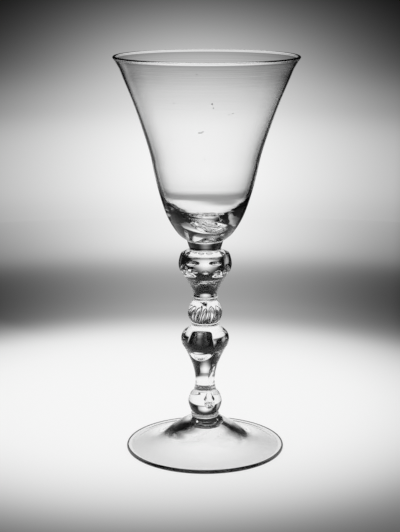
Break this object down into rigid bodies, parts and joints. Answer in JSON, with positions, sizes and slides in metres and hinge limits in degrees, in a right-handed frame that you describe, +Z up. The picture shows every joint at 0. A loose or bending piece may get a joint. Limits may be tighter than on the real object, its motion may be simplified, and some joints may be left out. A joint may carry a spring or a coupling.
{
  "type": "baluster goblet",
  "caption": "Clear glass goblet with a bell bowl, a baluster stem with a beaded and a ribbed knop and an air tear, and a conical foot.",
  "frame": {"origin": "centre of the foot's resting ring, on the plane that the goblet stands on", "axes": "+Z up along the axis of the stem, towards the lip of the bowl; +X and +Y are equal, because the goblet is turned about Z"},
  "size_m": [0.0846, 0.0846, 0.1851],
  "materials": {
    "lead_glass": "clear fire-polished lead glass with a faint grey tint"
  },
  "bodies": {
    "root": {"foot": "lead_glass", "foot_collar": "lead_glass", "ball_knop": "lead_glass", "baluster": "lead_glass", "lower_collar": "lead_glass", "ribbed_knop": "lead_glass", "upper_collar": "lead_glass", "knop_core": "lead_glass", "knop_casing": "lead_glass", "bowl_collar": "lead_glass", "bowl": "lead_glass"}
  },
  "joints": []
}
